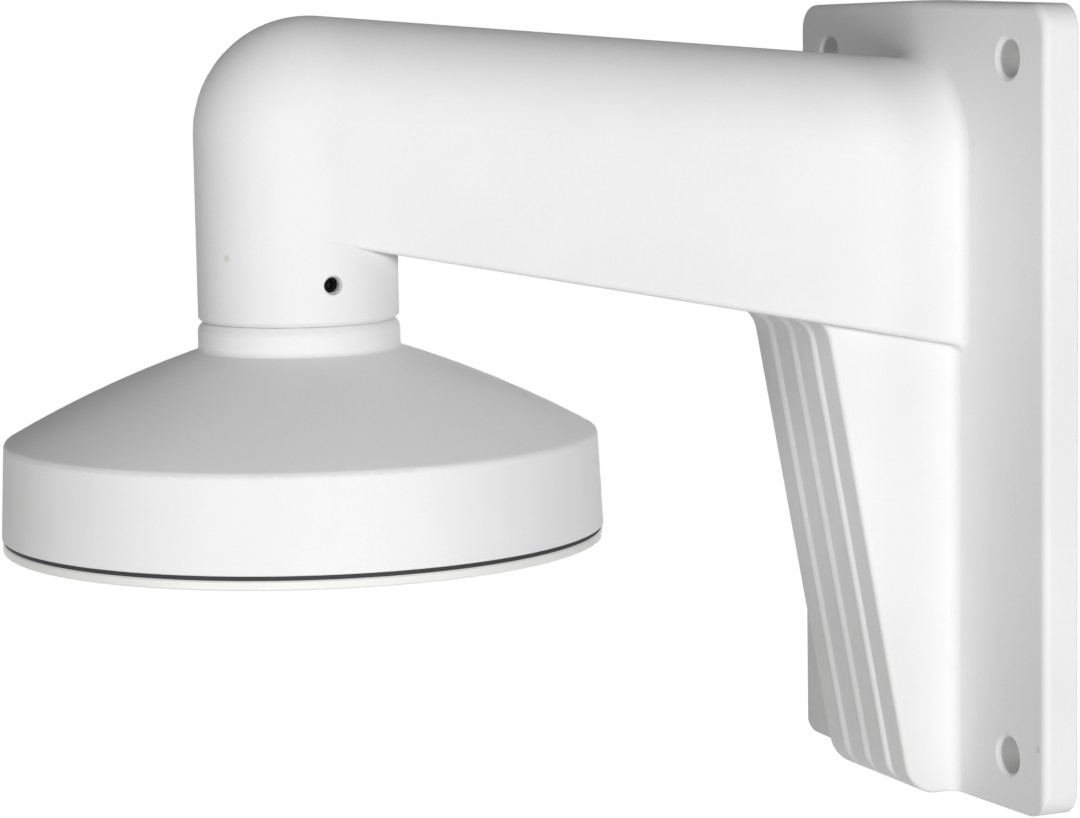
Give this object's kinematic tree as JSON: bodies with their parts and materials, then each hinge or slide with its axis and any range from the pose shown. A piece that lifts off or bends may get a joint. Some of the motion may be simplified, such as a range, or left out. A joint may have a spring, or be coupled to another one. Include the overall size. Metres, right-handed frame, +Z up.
{
  "type": "camera wall bracket",
  "caption": "White cast wall bracket with a hollow arm and fluted gusset, ending in a round pendant cap that carries a dome camera and feeds its cable to the wall.",
  "frame": {"origin": "centre of the four fixing holes on the plane of the wall", "axes": "+Y into the wall, so the arm reaches out along -Y; +Z up; +X to the right for someone facing the wall"},
  "size_m": [0.1306, 0.2277, 0.184],
  "materials": {
    "white_casting": "satin",
    "white_cap": "satin",
    "black_seal": "matte",
    "pale_plate": "satin",
    "steel_screw": "satin",
    "dark_screw": "satin"
  },
  "bodies": {
    "root": {"wall_arm": "white_casting", "pendant_cap": "white_cap", "cap_seal": "black_seal", "camera_plate": "pale_plate", "camera_plate_screws": "steel_screw", "cap_lock_screw": "dark_screw"}
  },
  "joints": []
}
